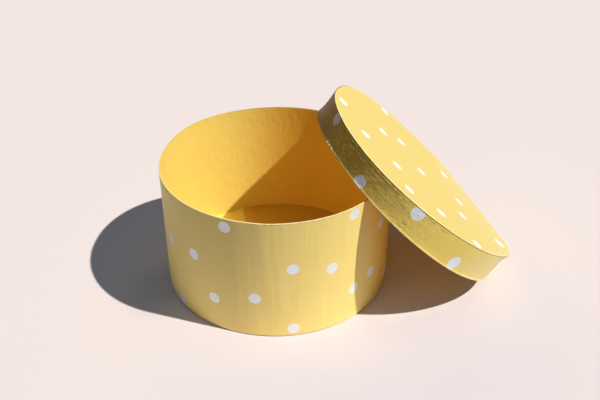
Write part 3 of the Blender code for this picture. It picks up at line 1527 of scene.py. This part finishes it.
@dataclass
class RoundBox:
    """The box: its wrap, its linings, and the boards that they hide.

    Attributes:
        seat: Where it stands.
        turn_under: How far the wrap reaches in under the base.
        turn_in: How far it reaches down inside the rim.
        swell_depth: How far the wall's paper swells to either side.
        rim_dip: How far the rim's height wavers.
        card: How thick the card of its wall is.
        slack: The room between two sheets.
        lining_drop: How far below the rim the lining ends.
        dot_shares: The turn in degrees and the height, as a share of the wall, of each dot.
    """

    seat: Seat = field(default_factory=lambda: Seat("box", Vector((0, 0, 0)), 0.0))
    turn_under: float = 12.0 * MM
    turn_in: float = 10.0 * MM
    swell_depth: float = 0.05 * MM
    rim_dip: float = 0.10 * MM
    card: float = 0.60 * MM
    slack: float = 0.06 * MM
    lining_drop: float = 0.45 * MM
    dot_shares: tuple[tuple[float, float], ...] = (
        (-160, 0.55), (-153, 0.06), (-139, 0.59), (-128, 0.27), (-120, 0.93), (-107, 0.35),
        (-89, 0.61), (-89, 0.07), (-70, 0.55), (-58, 0.94), (-57, 0.28), (-44, 0.32),
        (-36, 0.69), (-24, 0.12), (-2, 0.47), (-6, 0.87), (12, 0.20), (20, 0.59), (33, 0.91),
        (38, 0.33), (52, 0.08), (58, 0.65), (74, 0.40), (83, 0.83), (90, 0.14), (104, 0.54),
        (117, 0.29), (121, 0.89), (133, 0.63), (146, 0.09), (152, 0.39), (163, 0.81),
        (176, 0.25), (-173, 0.87),
    )

    def __post_init__(self) -> None:
        """Measure the nodes that the new pieces stand for."""
        self.wrap = self.seat.measure("wall_wrap_paper")
        self.lining = self.seat.measure("wall_lining_paper")
        self.floor = self.seat.measure("base_lining_paper")
        self.outer = self.wrap.radius - self.swell_depth
        self.card_outer = self.outer - self.swell_depth - PAPER - self.slack
        self.fold_inner = self.card_outer - self.card - self.slack - PAPER
        self.lining_inner = self.fold_inner - self.slack - PAPER - self.swell_depth
        self.warp = Warp(
            self.wrap.radius,
            self.wrap.top,
            (
                Press(-0.6 * MM, 50, 13),
                Press(-0.5 * MM, -100, 12),
                Press(0.0, 134, 38, edge=2, lift=1.5 * MM),
            ),
        )

    def build(self) -> None:
        """Model and dress every piece of the box."""
        self._wrap(self._dotted_paper().make())
        self._linings()
        self._boards()

    def _dotted_paper(self) -> Paper:
        """Describe the wrap's paper: dotted outside, golden where turned in, with painted shade in
        places.

        Returns:
            The paper.
        """
        radius = self.wrap.radius
        # The turned-in band takes the lining's golden colour, painted a little darker as shade, so
        # that only a narrow line of the lit rim top shows bright
        gilt_and_shade = Fade(
            shade(LINING_DYE, 0.85), self.outer - 0.4 * MM, self.outer - 0.7 * MM, Along.RADIUS
        )
        # Painted shade: the rim's top darker on the far side, within the turned-in band
        far_rim_shade = Fade(shade(LINING_DYE, 0.6), -0.2 * radius, 0.5 * radius, Along.Y, gilt_and_shade)
        return Paper(
            "dotted_paper_wall",
            DOTTED_DYE,
            self.seat,
            sheen=0.6,
            swell=(9 * MM, 9 * MM, 80 * MM),
            swell_depth=0.6 * MM,
            # The first fade paints shade on the side of the wall under the lid
            fades=(Fade(DOTTED_PAINTED_SHADE_DYE, 0.6 * radius, 0.95 * radius), gilt_and_shade, far_rim_shade),
            # A faint painted shadow line along the top of the wall, absent towards -X
            lap_shadow=LapShadow(self.wrap.top, -0.45 * radius, -0.2 * radius, 0.0, 0.4, 1.2 * MM),
            dots=Dots.round_wall(self.dot_shares, radius, self.wrap.top),
            # Pale folds at the foot and the rim's top: partly rubbing, partly a painted highlight
            # that grows towards -Y
            wear_and_highlight=WearAndHighlight(
                ((radius, self.wrap.foot), (radius, self.wrap.top)),
                0.8 * MM,
                side=Along.Y,
                start=0.2 * radius,
                end=-0.4 * radius,
            ),
        )

    def _near_rim(self, place: Vector) -> float:
        """Return 1 at the rim, and 0 from a little way down the wall."""
        return smooth(1 - (self.wrap.top - place.z) / self.turn_in)

    def _wrap(self, dotted: bpy.types.Material) -> None:
        """Model the paper that wraps the wall, the rim and the foot.

        Args:
            dotted: Its finish.
        """
        outer = self.outer
        top = self.wrap.top - self.rim_dip
        inner = self.fold_inner
        Sheet(
            "box_wrap_sheet",
            [
                (outer - self.turn_under, self.wrap.foot),
                (outer, self.wrap.foot),
                (outer, top),
                (inner, top),
                (inner, top - self.turn_in),
            ],
            Facing.OUTWARD,
            self.seat,
            fold_radius=0.35 * MM,
            warp=self.warp,
            swells=(
                Swell(
                    (16 * MM, 16 * MM, 70 * MM),
                    self.swell_depth,
                    share_at=lambda place: smooth(outward(place, inner, outer)),
                ),
                Swell((24 * MM,) * 3, self.rim_dip, Push.HEIGHT, self._near_rim),
            ),
        ).lay(dotted, "wall_wrap_paper")

    def _linings(self) -> None:
        """Model the lining round the wall and the one on the base board, and dress the base."""
        radius = self.wrap.radius
        golden = Paper(
            "golden_paper_inside",
            LINING_DYE,
            self.seat,
            roughness=LINING_ROUGHNESS,
            mottle_share=0.07,
            swell=(4 * MM, 4 * MM, 7 * MM),
            swell_depth=0.34 * MM,
            # Painted shade: the lining deepens towards +X, the side that lies in shade
            fades=(Fade(LINING_PAINTED_SHADE_DYE, -0.35 * radius, 0.5 * radius),),
        ).make()
        floor = Paper(
            "golden_paper_floor",
            FLOOR_LINING_DYE,
            self.seat,
            roughness=LINING_ROUGHNESS,
            swell=(22 * MM,) * 3,
            fades=(
                # Painted shade towards +X
                Fade(FLOOR_LINING_PAINTED_SHADE_DYE, -0.40 * radius, -0.12 * radius),
                # Painted light: a small lit patch at the back, with a sharp edge across X
                Fade(
                    FLOOR_LINING_PAINTED_LIGHT_DYE,
                    -0.235 * radius,
                    -0.275 * radius,
                    within=Fade(FLOOR_LINING_PAINTED_LIGHT_DYE, 0.6 * radius, 0.7 * radius, Along.Y),
                ),
            ),
        ).make()
        inner = self.lining_inner
        top = self.wrap.top - self.rim_dip - self.lining_drop
        Sheet(
            "box_lining_sheet",
            [(inner, top), (inner, self.lining.foot)],
            Facing.INWARD,
            self.seat,
            warp=self.warp,
            swells=(
                Swell((30 * MM,) * 3, self.swell_depth),
                Swell((18 * MM,) * 3, self.rim_dip, Push.HEIGHT, self._near_rim),
            ),
        ).lay(golden, "wall_lining_paper")
        Sheet(
            "box_floor_sheet",
            [(inner - 2 * self.slack, self.floor.top), (0, self.floor.top)],
            Facing.UP,
            self.seat,
            swells=(Swell((35 * MM,) * 3, self.swell_depth),),
        ).lay(floor, "base_lining_paper")
        dress_solid("base_cover_paper", golden)

    def _boards(self) -> None:
        """Dress the base board, and model the card of the wall and the tape along its seam."""
        board = Board("greyboard_box", BOARD_GREY).make()
        dress_solid("base_board", board)
        wall = self.seat.measure("wall_board")
        Sheet(
            "box_wall_card",
            [(self.card_outer, wall.foot), (self.card_outer, wall.top - self.rim_dip)],
            Facing.OUTWARD,
            self.seat,
            warp=self.warp,
            thickness=self.card,
        ).lay(board, "wall_board")
        tape = self.seat.measure("wall_joint_tape")
        Sheet(
            "box_seam_tape",
            [(self.fold_inner, tape.foot), (self.fold_inner, tape.top)],
            Facing.INWARD,
            self.seat,
            warp=self.warp,
            arc=self.seat.arc("wall_joint_tape"),
        ).lay(
            Board("gummed_tape_box", TAPE_BROWN, roughness=TAPE_ROUGHNESS).make(),
            "wall_joint_tape",
        )


@dataclass
class Lid:
    """The leaning lid: its top paper, its rim strip, its linings and boards.

    Attributes:
        seat: Where it leans.
        turn_in: How far the rim strip reaches up inside.
        turn_down: How far the top paper reaches down behind the rim strip.
        rim_board: How thick the board of the rim is.
        swell_depth: How far its papers swell to either side.
        lip_depth: How far the lower edge stands out as a lip.
        lip_height: How high this is.
        lip_ease: Over what height the strip comes out again, below the fold behind it.
        scuff_rise: How far above the lower edge its scuffs lie.
        scuff_radius: How large the largest of them is.
        lining_swell: How far its linings swell to either side.
        crease_drop: How far below the top the main crease runs.
        scuff_shares: The turn in degrees of each scuff, and its size as a share of the largest's.
        face_dot_shares: The place of each dot on the top, down the slope and across it, as
            shares of the radius.
        rim_dot_shares: The turn in degrees and the height, as a share of the rim's, of each dot.
    """

    seat: Seat = field(
        default_factory=lambda: Seat.under(
            "lid", "lid_top_lining", "lid_rim_lining", "lid_rim_wrap_paper"
        )
    )
    turn_in: float = 8.0 * MM
    turn_down: float = 5.0 * MM
    rim_board: float = 1.0 * MM
    swell_depth: float = 0.07 * MM
    lip_depth: float = 0.38 * MM
    lip_height: float = 1.1 * MM
    lip_ease: float = 14.0 * MM
    scuff_rise: float = 0.7 * MM
    scuff_radius: float = 2.0 * MM
    lining_swell: float = 0.05 * MM
    crease_drop: float = 3.0 * MM
    scuff_shares: tuple[tuple[float, float], ...] = (
        (-167, 1.0), (-164.5, 0.95), (-162, 0.85), (-43, 0.3),
    )
    face_dot_shares: tuple[tuple[float, float], ...] = (
        (-0.88, 0.21), (-0.17, 0.91), (-0.71, -0.15), (-0.39, 0.26), (-0.11, 0.40),
        (-0.41, -0.33), (0.00, 0.00), (0.53, 0.51), (-0.40, -0.69), (0.49, -0.02),
        (-0.06, -0.72), (0.36, -0.38), (0.27, -0.90), (0.81, -0.41),
    )
    rim_dot_shares: tuple[tuple[float, float], ...] = (
        (-172, 0.80), (-139, 0.17), (-111, 0.80), (-80, 0.25), (-40, 0.60), (-10, 0.25),
        (22, 0.82), (55, 0.22), (88, 0.74), (120, 0.19), (152, 0.78),
    )

    def __post_init__(self) -> None:
        """Measure the nodes that the new pieces stand for."""
        self.top_paper = self.seat.measure("lid_top_paper")
        self.strip = self.seat.measure("lid_rim_wrap_paper")
        self.ceiling = self.seat.measure("lid_top_lining")
        self.lining = self.seat.measure("lid_rim_lining")
        self.warp = Warp(
            self.strip.radius,
            self.top_paper.top,
            (
                Press(2.8 * MM, -175, 95, low=True),
                Press(0.45 * MM, 131, 12, low=True),
                Press(0.8 * MM, 144, 27, lift=1.2 * MM),
                Press(0.0, 98, 55, edge=2, lift=0.6 * MM),
                Press(0.0, 54, 26, edge=2, lift=1.5 * MM),
                Press(0.0, -19, 15, edge=2, lift=1.6 * MM),
                Press(2.2 * MM, -50, 65),
                Press(-1.4 * MM, -38, 32, low=True),
                Press(-3.1 * MM, -30, 24, edge=6),
            ),
            saddle=2.6 * MM,
            saddle_turn=-56,
            tip=1.3 * MM,
            tip_turn=-90,
            dish=0.8 * MM,
        )

    def build(self) -> None:
        """Model and dress every piece of the lid."""
        self._top()
        self._rim()
        self._linings()
        self._boards()

    def _top(self) -> None:
        """Model the dotted paper over the top, folded down behind the rim strip."""
        radius = self.top_paper.radius
        height = self.top_paper.top
        dots = (
            Vector((slope * radius, across * radius, height))
            for slope, across in self.face_dot_shares
        )
        dotted = Paper(
            "dotted_paper_top",
            # The top's darker colour is painted shade against the strong light there
            TOP_PAINTED_SHADE_DYE,
            self.seat,
            swell=(30 * MM,) * 3,
            swell_depth=0.2 * MM,
            fades=(Fade(TOP_PALE_DYE, 0.2 * radius, radius),),
            # A pale fold round the top's edge: partly rubbing, partly a painted highlight that
            # grows towards -Y
            wear_and_highlight=WearAndHighlight(
                ((radius, height),),
                1.1 * MM,
                side=Along.Y,
                start=0.5 * radius,
                end=-0.2 * radius,
                least=0.3,
            ),
            dots=Dots(tuple(dots), radius=4.5 * MM),
            unbent=True,
        ).make()
        level = height - self.swell_depth
        Sheet(
            "lid_top_sheet",
            [(radius, height - self.turn_down), (radius, level), (0, level)],
            Facing.OUTWARD,
            self.seat,
            run_facet=3 * MM,
            swells=(
                Swell(
                    (40 * MM,) * 3,
                    self.swell_depth,
                    Push.HEIGHT,
                    lambda place: smooth((place.z - height) / self.turn_down + 1),
                ),
            ),
            warp=self.warp,
        ).lay(dotted, "lid_top_paper")

    def _rim_paper(self) -> Paper:
        """Describe the strip's paper, crushed, creased and painted with shade on the side that
        leans highest.

        Returns:
            The paper.
        """
        radius = self.strip.radius
        height = self.top_paper.top
        crease = height - self.crease_drop
        scuffed = self.strip.foot + self.scuff_rise
        return Paper(
            "dotted_paper_rim",
            # The base colour is painted shade; the fades pass to the strip's own dye and on to
            # painted light towards +X
            RIM_PAINTED_SHADE_DYE,
            self.seat,
            roughness=0.50,
            sheen=0.08,
            mottle_share=0.07,
            fibre_share=0.06,
            fibre_depth=0.08 * MM,
            swell=(9 * MM, 9 * MM, 6 * MM),
            fades=(
                Fade(RIM_DYE, -1.2 * radius, -0.05 * radius),
                Fade(RIM_PAINTED_LIGHT_DYE, 0.0, 0.6 * radius),
                # Painted shade, deeper at the -X end towards +Y
                Fade(
                    RIM_PAINTED_DEEP_SHADE_DYE,
                    -0.35 * radius,
                    0.0,
                    Along.Y,
                    within=Fade(RIM_PAINTED_DEEP_SHADE_DYE, -0.85 * radius, -0.97 * radius),
                ),
            ),
            # A pale fold along the lower edge: partly rubbing, partly a painted highlight that
            # grows towards +X
            wear_and_highlight=WearAndHighlight(
                ((radius, self.strip.foot),),
                1.4 * MM,
                side=Along.X,
                start=-0.98 * radius,
                end=-0.1 * radius,
            ),
            lean=(math.radians(15), math.radians(-6)),
            unbent=True,
            # A painted shadow line under the top paper's edge, darkest towards -X
            lap_shadow=LapShadow(self.strip.top, -0.3 * radius, 0.6 * radius),
            crinkle=Crinkle(Span.along(radius, -0.98, -0.02, 0.04, 0.38)),
            creases=(
                Crease(
                    crease - 0.9 * MM,
                    Span.along(radius, -0.98, -0.42, 0.03, 0.08),
                    waver=0.5 * MM,
                    width=0.5 * MM,
                    dark_share=1.0,
                ),
                Crease(
                    crease - 2.2 * MM,
                    Span.along(radius, -0.95, -0.45, 0.1, 0.1),
                    waver=1.2 * MM,
                    width=0.42 * MM,
                    dark_share=0.8,
                ),
                Crease(
                    crease,
                    Span.along(radius, -0.31, -0.05, 0.05, 0.1),
                    waver=1.0 * MM,
                    width=0.5 * MM,
                    dark_share=0.45,
                ),
            ),
            scuffs=tuple(
                Scuff(on_wall(radius, turn, scuffed), share * self.scuff_radius)
                for turn, share in self.scuff_shares
            ),
            dots=Dots.round_wall(
                self.rim_dot_shares,
                radius,
                height,
                gaps_share=0.35,
                pearl_share=0.08,
                radius=5.1 * MM,
                # Painted shade dims the dots towards -X
                dull=Fade(DOT_SHADE_AND_CRACK_GREY, -0.98 * radius, -0.70 * radius),
                cracked=Span.along(radius, -0.96, -0.3, 0.1, 0.3),
            ),
        )

    def _rim(self) -> None:
        """Model the strip round the rim, turned in at its lower edge."""
        outer = self.strip.radius - self.swell_depth
        inner = self.lining.radius + GLUE_GAP
        foot = self.strip.foot
        fold = self.strip.top - self.turn_down

        def on_lip(place: Vector) -> float:
            """Find where the strip lies deeper than its lip and its upper edge.

            Args:
                place: A place on the strip.

            Returns:
                1 there and 0 elsewhere.
            """
            outside = smooth(outward(place, inner, outer) * 2 - 1)
            above = smooth((place.z - foot) / self.lip_height - 0.4)
            return outside * above * smooth((fold - place.z) / self.lip_ease)

        Sheet(
            "lid_rim_strip",
            [
                (inner, foot + self.turn_in),
                (inner, foot),
                (outer, foot),
                (outer, self.strip.top - self.swell_depth),
            ],
            Facing.OUTWARD,
            self.seat,
            run_facet=0.5 * MM,
            hollow=Hollow(self.lip_depth, on_lip),
            swells=(
                Swell(
                    (7 * MM, 7 * MM, 5 * MM),
                    self.swell_depth,
                    share_at=lambda place: smooth(outward(place, inner, outer)),
                    layers=2,
                ),
            ),
            warp=self.warp,
        ).lay(self._rim_paper().make(), "lid_rim_wrap_paper")

    def _linings(self) -> None:
        """Model the round lining under the top board and the one round the inside of the rim."""
        golden = Paper(
            "golden_paper_lid",
            LID_LINING_DYE,
            self.seat,
            roughness=LINING_ROUGHNESS,
            mottle_share=0.07,
            swell=(22 * MM,) * 3,
            unbent=True,
        ).make()
        Sheet(
            "lid_ceiling_sheet",
            [(self.ceiling.radius, self.ceiling.foot), (0, self.ceiling.foot)],
            Facing.DOWN,
            self.seat,
            swells=(Swell((35 * MM,) * 3, self.lining_swell),),
            warp=self.warp,
        ).lay(golden, "lid_top_lining")
        inner = self.lining.radius - PAPER
        Sheet(
            "lid_rim_lining_sheet",
            [(inner, self.lining.top), (inner, self.lining.foot)],
            Facing.INWARD,
            self.seat,
            run_facet=1 * MM,
            swells=(Swell((20 * MM,) * 3, self.lining_swell),),
            warp=self.warp,
        ).lay(golden, "lid_rim_lining")

    def _boards(self) -> None:
        """Model the two boards and the tape that the papers hide, bent as these are."""
        board = Board("greyboard_lid", BOARD_GREY).make()
        top = self.seat.measure("lid_top_board")
        Sheet(
            "lid_top_card",
            [(top.radius, top.top), (0, top.top)],
            Facing.UP,
            self.seat,
            run_facet=3 * MM,
            warp=self.warp,
            thickness=top.height,
        ).lay(board, "lid_top_board")
        rim = self.seat.measure("lid_rim_board")
        Sheet(
            "lid_rim_card",
            [(rim.radius, rim.foot), (rim.radius, rim.top)],
            Facing.OUTWARD,
            self.seat,
            warp=self.warp,
            thickness=self.rim_board,
        ).lay(board, "lid_rim_board")
        tape = self.seat.measure("lid_joint_tape")
        Sheet(
            "lid_seam_tape",
            [(tape.radius - PAPER, tape.foot), (tape.radius - PAPER, tape.top)],
            Facing.INWARD,
            self.seat,
            warp=self.warp,
            arc=self.seat.arc("lid_joint_tape"),
        ).lay(
            Board("gummed_tape_lid", TAPE_BROWN, roughness=TAPE_ROUGHNESS).make(),
            "lid_joint_tape",
        )


@dataclass(frozen=True)
class Tint:
    """A soft patch of another colour on the floor, as the camera sees it, standing in for light and
    shade.

    Attributes:
        colour: Its colour.
        place_shares: Where it is full, along X and Y, as shares of the box's radius.
        start: How far from there it begins to fade.
        end: From where on there is none.
    """

    colour: Colour
    place_shares: tuple[tuple[float, float], ...]
    start: float
    end: float

    def share(self, nodes: Nodes, at: Wire, radius: float) -> Wire:
        """Find the patch on the floor.

        Args:
            nodes: The tree to fill.
            at: The place on the floor.
            radius: The box's radius.

        Returns:
            How full the patch is, from 0 to 1.
        """
        places = [Vector((x * radius, y * radius, 0)) for x, y in self.place_shares]
        return nodes.nearest(at, places).fall(self.start, self.end)


@dataclass(frozen=True)
class Lamp:
    """A lamp so far away that its light falls evenly.

    Attributes:
        name: Its name.
        towards: The direction from the box to the lamp.
        strength: Its strength.
        colour: Its colour.
        width: How wide it looks from the box, which softens the shadows.
    """

    name: str
    towards: tuple[float, float, float]
    strength: float
    colour: Colour
    width: float

    def hang(self) -> None:
        """Add the lamp to the scene."""
        towards = Vector(self.towards)
        bpy.ops.object.light_add(type="SUN", location=towards * 2)
        lamp = bpy.context.object
        lamp.name = self.name
        lamp.rotation_euler = towards.to_track_quat("Z", "Y").to_euler()
        lamp.data.energy = self.strength
        lamp.data.color = self.colour
        lamp.data.angle = self.width


@dataclass
class Studio:
    """A pale floor, a lamp with crisp shadows, the light of the room, and the camera.

    Attributes:
        box_radius: The radius of the box that stands in it.
        floor_radius: How far the floor reaches.
        floor_drop: How far below the box it lies.
        lamps: The lamp and the wide, faint light from straight above.
        room_light: What the room adds from all sides.
        near: How far round the box the floor throws most of its light back.
        far: From where on it throws back little.
        tints: Where the box's lit side brightens the floor, where its dark side keeps light
            off it, and where its open side brightens the lid's shadow.
        camera_at: Where the camera stands.
        camera_towards: Where it looks.
        camera_roll: Its turn about its own axis.
        lens: Its focal length, in the millimetres that Blender takes.
        sensor: The width of its sensor, in the same.
        clip_start: How near to it the picture begins.
    """

    box_radius: float
    floor_radius: float = 6.0
    floor_drop: float = 0.1 * MM
    lamps: tuple[Lamp, ...] = (
        Lamp("studio_lamp", (0.533, -0.263, 0.804), 3.98, (1.0, 0.985, 0.95), math.radians(0.9)),
        Lamp("studio_sky", (0, 0, 1), 0.09, (0.85, 0.92, 1.0), math.radians(110)),
    )
    room_light: Colour = (0.09, 0.13, 0.185)
    near: float = 0.13
    far: float = 0.34
    tints: tuple[Tint, ...] = (
        Tint(FLOOR_BLUSH_LIT, ((0.67, -1.22),), 40 * MM, 220 * MM),
        Tint(FLOOR_GLOOM, ((-1.06, -0.22),), 10 * MM, 45 * MM),
        Tint(
            FLOOR_SHADE,
            ((0.89, -0.69), (1.11, -0.64), (1.30, -0.60), (1.48, -0.49)),
            4 * MM,
            34 * MM,
        ),
    )
    camera_at: tuple[float, float, float] = (-0.0553, -0.5514, 0.4203)
    camera_towards: tuple[float, float, float] = (0.0185, -0.0025, 0.0638)
    camera_roll: float = math.radians(-0.23)
    lens: float = 49.4
    sensor: float = 36.0
    clip_start: float = 0.01

    def build(self) -> None:
        """Set up the floor, the light and the camera."""
        self._floor()
        for lamp in self.lamps:
            lamp.hang()
        self._room()
        self._camera()

    def _floor(self) -> None:
        """Lay a wide round floor of pale card, just under the box."""
        bpy.ops.object.select_all(action="DESELECT")
        bpy.ops.mesh.primitive_circle_add(
            vertices=FLOOR_FACETS,
            radius=self.floor_radius,
            fill_type="NGON",
            location=(0, 0, -self.floor_drop),
        )
        floor = bpy.context.object
        floor.name = "studio_floor"
        bpy.ops.object.transform_apply(location=True)
        material = bpy.data.materials.new("pale_card")
        nodes = Nodes(material)
        at = nodes.position()
        tooth = nodes.cloud(at, TOOTH_GRAIN, detail=3.0)
        card = nodes.blend(tooth, shade(FLOOR_BLUSH, TOOTH_SHADE), FLOOR_BLUSH)
        for tint in self.tints:
            card = nodes.blend(tint.share(nodes, at, self.box_radius), card, tint.colour)
        out = nodes.vector("LENGTH", at, output=1)
        thrown = nodes.blend(out.ramp(self.near, self.far), FLOOR_NEAR, FLOOR_FAR)
        nodes.surface(
            {
                "Base Color": nodes.blend(self._seen(nodes), thrown, card),
                "Roughness": FLOOR_ROUGHNESS,
                "Specular IOR Level": 0.0,
            }
        )
        dress(floor, material)

    def _seen(self, nodes: Nodes) -> Wire:
        """Tell what is seen from what only sheds light.

        Args:
            nodes: The tree to fill.

        Returns:
            1 for what the camera, a reflection or a clear piece shows, and 0 for light.
        """
        direct, mirrored, through = (
            nodes.node("ShaderNodeLightPath", output=output) for output in SEEN_RAYS
        )
        return direct.most(mirrored).most(through)

    def _room(self) -> None:
        """Light the scene from all sides, and show the camera the floor's colour."""
        world = bpy.data.worlds.new("studio_room")
        bpy.context.scene.world = world
        nodes = Nodes(world)
        room = nodes.node("ShaderNodeBackground", None, {0: self.room_light, 1: 1.0})
        backdrop = nodes.node("ShaderNodeBackground", None, {0: BACKDROP, 1: 1.0})
        sockets = {0: self._seen(nodes), 1: room, 2: backdrop}
        light = nodes.node("ShaderNodeMixShader", None, sockets)
        nodes.node("ShaderNodeOutputWorld", None, {"Surface": light})

    def _camera(self) -> None:
        """Stand the camera where the photograph was taken from."""
        sight = Vector(self.camera_towards) - Vector(self.camera_at)
        turn = sight.to_track_quat("-Z", "Y") @ Quaternion((0, 0, 1), self.camera_roll)
        bpy.ops.object.camera_add(location=self.camera_at, rotation=turn.to_euler())
        camera = bpy.context.object
        camera.name = "studio_camera"
        camera.data.lens = self.lens
        camera.data.sensor_width = self.sensor
        camera.data.sensor_fit = "HORIZONTAL"
        camera.data.clip_start = self.clip_start
        bpy.context.scene.camera = camera


def main() -> None:
    """Build the box, the lid and the studio, in that order."""
    logging.basicConfig(level=logging.INFO, format="%(name)s: %(message)s")
    bpy.context.scene.view_settings.view_transform = "Standard"
    box = RoundBox()
    box.build()
    Lid().build()
    Studio(box.wrap.radius).build()


if __name__ == "__main__":
    main()
